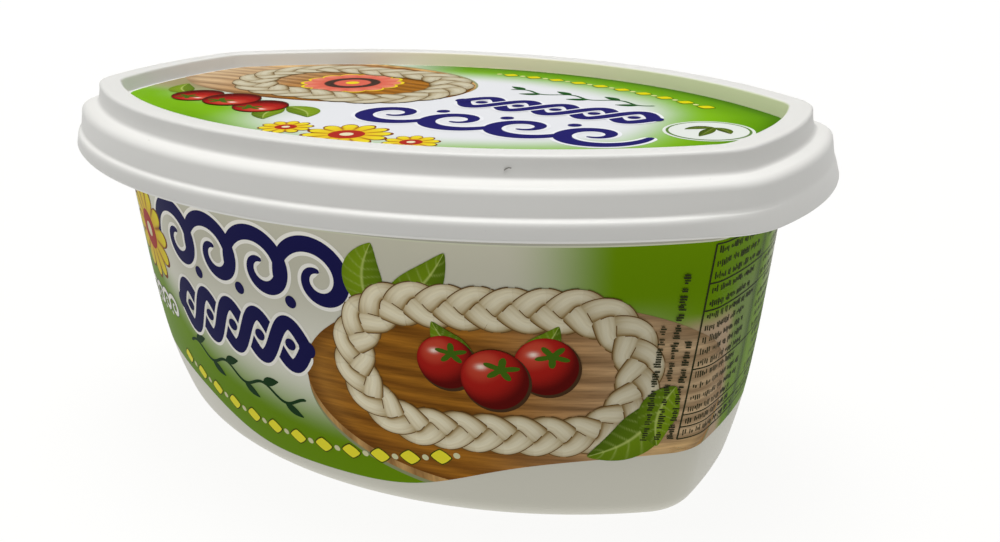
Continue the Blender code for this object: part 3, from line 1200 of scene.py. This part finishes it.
def scalloped_disc(cx, cy, radius, layer, light):
    """A large flower in salmon red with pale rays, a dark ring and a yellow middle.

    Its outline is 0.86 + 0.14 |cos(7 angle)|^0.6 of the radius.
    """
    salmon, pale, dark, yellow = inks(light, (218, 104, 84), (236, 150, 122), (70, 52, 44),
                                      (238, 214, 40))

    def scallop(angle):
        return 0.86 + 0.14 * np.abs(np.cos(7.0 * angle)) ** 0.6

    def ink(u, v):
        reach = np.hypot(u, v)
        rays = np.abs(np.cos(7.0 * np.arctan2(v, u)))
        return painted(salmon, (pale, 0.7 * rays * smooth(0.55, 0.95, reach)),
                       (dark, smooth(0.36, 0.38, reach) * (1.0 - smooth(0.56, 0.58, reach))))

    return stacked(cx, cy, layer, (radius + 0.7, yellow, 71, scallop), (radius, ink, 91, scallop),
                   (0.14 * radius, yellow, 13))


def seal(cx, cy, radius, layer, light):
    """A white disc with a thin green ring and a sprig of three leaves."""
    white, green = inks(light, (226, 230, 224), (96, 130, 60))
    sheets = stacked(cx, cy, layer, (radius, white, 31), (0.93 * radius, green, 31),
                     (0.87 * radius, white, 31))
    for k, (x, y, bend) in enumerate(((-0.52, 0.1, 0.12), (0.0, 0.62, 0.0), (0.52, 0.1, -0.12))):
        sheets += leaf(cx, cy - 0.35 * radius, cx + x * radius, cy + y * radius, 0.15 * radius,
                       bend, layer + 3 + k, 0.2, light)
    return sheets


def lid_art():
    """The sheets of the lid's print by group."""
    light = PANEL_LIGHT
    art = {}
    art["board"] = board(39.0, -13.0, 38.0, 23.0, 1, BOARD_LIGHT, PANEL_EDGE)
    art["plait"] = plait(rounded_loop(31.0, -13.0, 9.0, 15.5), 3.4, 19.5, 1.8, 8, PLAIT_LIGHT)
    art["flower"] = scalloped_disc(31.0, -13.0, 11.5, 5, light)
    art["fruits"] = each(fruit, ((32.0, 19.0, 5.8, 14, 0.3), (52.5, 15.6, 5.6, 14, 0.8),
                                 (42.4, 16.0, 6.2, 17, 1.3)), light=BRIGHT_LIGHT)
    art["leaves"] = each(leaf, ((27.0, 16.0, 16.5, 23.0, 3.4, 0.12, 3, 0.8),
                                (27.5, 17.0, 23.5, 28.5, 3.2, -0.12, 4, 0.5),
                                (57.0, 14.0, 65.0, 5.0, 3.0, 0.12, 6, 0.6)), light=BRIGHT_LIGHT)
    art["waves"] = running_waves(curve(-42.0, 3.0, 11.5), 10.8, 2, LID_NAVY, LID_HALO)
    art["twist"] = twist_pair(curve(-47.0, -3.0, -6.5), 4.9, 9.0, 1.5, 2, LID_NAVY, LID_HALO)
    art["rosettes"] = each(rosette, ((0.0, 32.5, 8.4, 12, 3), (-14.5, 32.5, 5.2, 10, 3),
                                     (14.5, 32.5, 5.2, 10, 3)), light=BRIGHT_LIGHT)
    stem = curve(-42.0, -6.0, lambda x: -19.5 - 0.08 * (x + 42.0))
    art["vine"] = vine(stem, 1.3, 6.0, 2, shown(30, 84, 30, light), 4.6)
    beads = curve(-52.0, 6.0, lambda x: -39.0 + 16.0 * ((x - 6.0) / 58.0) ** 2)
    art["beads"] = bead_row(beads, 1.5, 3.2, 4, shown(222, 210, 16, light),
                            shown(222, 222, 150, light), shown(66, 104, 6, light))
    art["seal"] = seal(-60.0, -1.5, 8.8, 2, light)
    return art


def lid_marks():
    """A short bent grey hair on the front of the upper step, and small grey specks on the ledge."""
    hair = np.array([[42.0, 1.45], [42.35, 1.75], [42.8, 1.92], [43.3, 1.86]])
    specks = ((-41.4, 1.0, 0.30), (-33.7, 1.4, 0.26), (76.0, 1.1, 0.24), (78.4, 0.9, 0.28))
    return [
        (on_rim_wall, [ribbon(hair, 0.10, 0, HAIR_GREY, across=3, step=0.1)]),
        (on_ledge, [disc(x, y, size, 0.4 * size, 0, MARK_GREY, count=9) for x, y, size in specks]),
    ]


# Camera, floor and light

CAMERA_PLACE = (130.6, -209.1, 124.7)
CAMERA_YAW = -0.49702
CAMERA_PITCH = 0.33738
CAMERA_ROLL = -0.00555
CAMERA_FOCAL_PIXELS = 1166.7
CAMERA_SHIFT = (-0.0063, 0.0007)
PICTURE_WIDTH = 1000.0
SENSOR_WIDTH = 36.0

FLOOR_REACH = 6.0
TABLE_GLOW = 0.93
LAMP_POWER = 4.4
LAMP_SPREAD = math.radians(44.0)
LAMP_TURN = (math.radians(2.2), math.radians(-2.8), 0.0)
SKY_STRENGTHS = (0.72, 0.04)


def add_camera():
    """A camera that looks along its yaw and pitch, turned by its roll about that direction."""
    lens = bpy.data.cameras.new("camera")
    lens.sensor_width = SENSOR_WIDTH
    lens.lens = SENSOR_WIDTH * CAMERA_FOCAL_PIXELS / PICTURE_WIDTH
    lens.shift_x, lens.shift_y = CAMERA_SHIFT
    lens.clip_start = 0.01
    lens.clip_end = 50.0
    cy, sy = math.cos(CAMERA_YAW), math.sin(CAMERA_YAW)
    cp, sp = math.cos(CAMERA_PITCH), math.sin(CAMERA_PITCH)
    ahead = Vector((sy * cp, cy * cp, -sp))
    level = Vector((cy, -sy, 0.0))
    up = level.cross(ahead)
    cr, sr = math.cos(CAMERA_ROLL), math.sin(CAMERA_ROLL)
    turn = Matrix((cr * level + sr * up, cr * up - sr * level, -ahead)).transposed().to_4x4()
    camera = bpy.data.objects.new("camera", lens)
    camera.matrix_world = Matrix.Translation(Vector(CAMERA_PLACE) * MM) @ turn
    bpy.context.scene.collection.objects.link(camera)
    bpy.context.scene.camera = camera


def pale_sky():
    """A pale sky at the horizon that fades to dark grey about 12 degrees above it."""
    world = bpy.data.worlds.new("sky")
    world.use_nodes = True
    tree = world.node_tree
    direction = add_node(tree, "ShaderNodeTexCoord").outputs["Generated"]
    parts = add_node(tree, "ShaderNodeSeparateXYZ", {"Vector": direction})
    low, high = SKY_STRENGTHS
    fade = add_node(tree, "ShaderNodeMapRange",
                    {"Value": parts.outputs["Z"], "From Max": 0.2, "To Min": low, "To Max": high},
                    interpolation_type="SMOOTHSTEP")
    background = tree.nodes["Background"]
    background.inputs["Color"].default_value = (1.0, 1.0, 1.0, 1.0)
    tree.links.new(fade.outputs["Result"], background.inputs["Strength"])
    return world


def add_stage():
    """A wide pale floor that glows like a light table, a soft light from overhead and the sky."""
    mesh = bpy.data.meshes.new("floor")
    reach = FLOOR_REACH
    corners = [(-reach, -reach, 0), (reach, -reach, 0), (reach, reach, 0), (-reach, reach, 0)]
    mesh.from_pydata(corners, [], [(0, 1, 2, 3)])
    floor = bpy.data.objects.new("floor", mesh)
    bpy.context.scene.collection.objects.link(floor)
    table, _, shader = new_material("light_table", 0.9, 0.5)
    shader.inputs["Base Color"].default_value = (0.03, 0.03, 0.03, 1.0)
    shader.inputs["Emission Color"].default_value = (1.0, 0.998, 0.985, 1.0)
    shader.inputs["Emission Strength"].default_value = TABLE_GLOW
    mesh.materials.append(table)
    lamp = bpy.data.lights.new("overhead", "SUN")
    lamp.energy = LAMP_POWER
    lamp.angle = LAMP_SPREAD
    sun = bpy.data.objects.new("overhead", lamp)
    sun.rotation_euler = LAMP_TURN
    bpy.context.scene.collection.objects.link(sun)
    bpy.context.scene.world = pale_sky()
    bpy.context.scene.view_settings.view_transform = "Standard"
    bpy.context.scene.view_settings.look = "None"


add_camera()
add_stage()

tub = tub_shell()
tub.data.materials.append(plastic("tub_white", TUB_TONES, 0.40, 0.35))
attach(tub, "root")
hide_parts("tub")

lid = lid_shell()
lid.data.materials.append(plastic("lid_white", LID_TONES, 0.42, 0.2, "thrown_light"))
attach(lid, "root")
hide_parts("lid")

lay("front_label_film", [(on_front, label_film(0))])
lay("back_label_film", [(on_back, label_film(0))])
for group, sheets in wall_art().items():
    lay("wall_print_" + group, [(on_front, sheets), (on_back, sheets)])
lay("lid_label_film", [(on_lid, lid_film(0))])
for group, sheets in lid_art().items():
    lay("lid_print_" + group, [(on_lid, sheets)])
lay("lid_marks", lid_marks())
